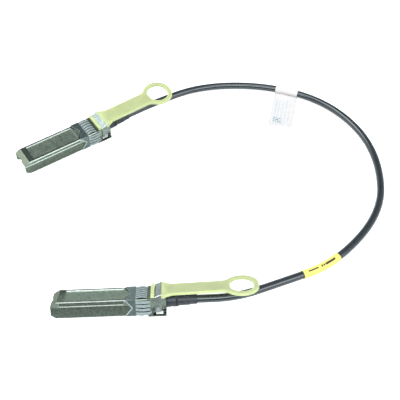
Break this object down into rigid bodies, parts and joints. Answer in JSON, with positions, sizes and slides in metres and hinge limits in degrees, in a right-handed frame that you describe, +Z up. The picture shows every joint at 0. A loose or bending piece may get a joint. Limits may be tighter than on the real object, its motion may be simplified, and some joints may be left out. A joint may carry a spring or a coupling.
{
  "type": "direct attach copper cable",
  "caption": "Short black network cable with a slim metal pluggable connector at each end, each with a pale green pull tab ending in a finger ring.",
  "frame": {"origin": "centre of the box round the two plugs and their pull tabs, at table height", "axes": "+X along the lower plug from its nose towards its cable, +Z up from the table, +Y from the lower plug towards the upper one"},
  "size_m": [0.215, 0.1734, 0.019],
  "materials": {
    "die_cast": "satin grey-green plated zinc casting",
    "spring_sheet": "satin spring sheet",
    "stamped_steel": "satin stamped sheet",
    "board": "green coated laminate",
    "gold_plate": "gold plated",
    "core_insulation": "matt",
    "crimp_metal": "crimped",
    "boot": "soft moulded",
    "tab_green": "pale yellow-green soft moulding",
    "jacket": "semi-gloss extruded jacket",
    "white_film": "printed film",
    "yellow_film": "printed film"
  },
  "bodies": {
    "assembly": {"lower_shell_a": "die_cast", "upper_shell_a": "die_cast", "emi_collar_a": "spring_sheet", "paddle_card_a": "board", "card_contacts_a": "gold_plate", "wire_cores_a": "core_insulation", "crimp_ferrule_a": "crimp_metal", "strain_relief_a": "boot", "lever_pin_a": "stamped_steel", "latch_spring_a": "spring_sheet", "lower_shell_b": "die_cast", "upper_shell_b": "die_cast", "emi_collar_b": "spring_sheet", "paddle_card_b": "board", "card_contacts_b": "gold_plate", "wire_cores_b": "core_insulation", "crimp_ferrule_b": "crimp_metal", "strain_relief_b": "boot", "lever_pin_b": "stamped_steel", "latch_spring_b": "spring_sheet", "cable": "jacket", "flag_label": "white_film", "wrap_label": "yellow_film"},
    "pull_a": {"pull_tab_a": "tab_green", "yoke_a": "stamped_steel", "yoke_rivets_a": "stamped_steel"},
    "latch_a": {"latch_lever_a": "stamped_steel"},
    "pull_b": {"pull_tab_b": "tab_green", "yoke_b": "stamped_steel", "yoke_rivets_b": "stamped_steel"},
    "latch_b": {"latch_lever_b": "stamped_steel"}
  },
  "joints": [
    {"name": "pull_slide_a", "type": "slide", "parent": "assembly", "child": "pull_a", "axis": [0.8536, 0.521, 0], "range_m": [0, 0.0018], "stiffness_N_per_m": 300, "springref_m": -0.003},
    {"name": "latch_tilt_a", "type": "hinge", "parent": "assembly", "child": "latch_a", "pos_m": [-0.0215, 0.04956, 0.00245], "axis": [-0.521, 0.8536, 0], "range_deg": [0, 8.01], "deforming": ["latch_spring_a"]},
    {"name": "pull_slide_b", "type": "slide", "parent": "assembly", "child": "pull_b", "axis": [1, 0, 0], "range_m": [0, 0.0018], "stiffness_N_per_m": 300, "springref_m": -0.003},
    {"name": "latch_tilt_b", "type": "hinge", "parent": "assembly", "child": "latch_b", "pos_m": [0.01296, -0.07551, 0.00546], "axis": [0, 0.8712, -0.4909], "range_deg": [0, 8.01], "deforming": ["latch_spring_b"]}
  ],
  "couplings": [
    {"joint": "latch_tilt_a", "follows": "pull_slide_a", "rad_per_m": 77.57},
    {"joint": "latch_tilt_b", "follows": "pull_slide_b", "rad_per_m": 77.57}
  ]
}
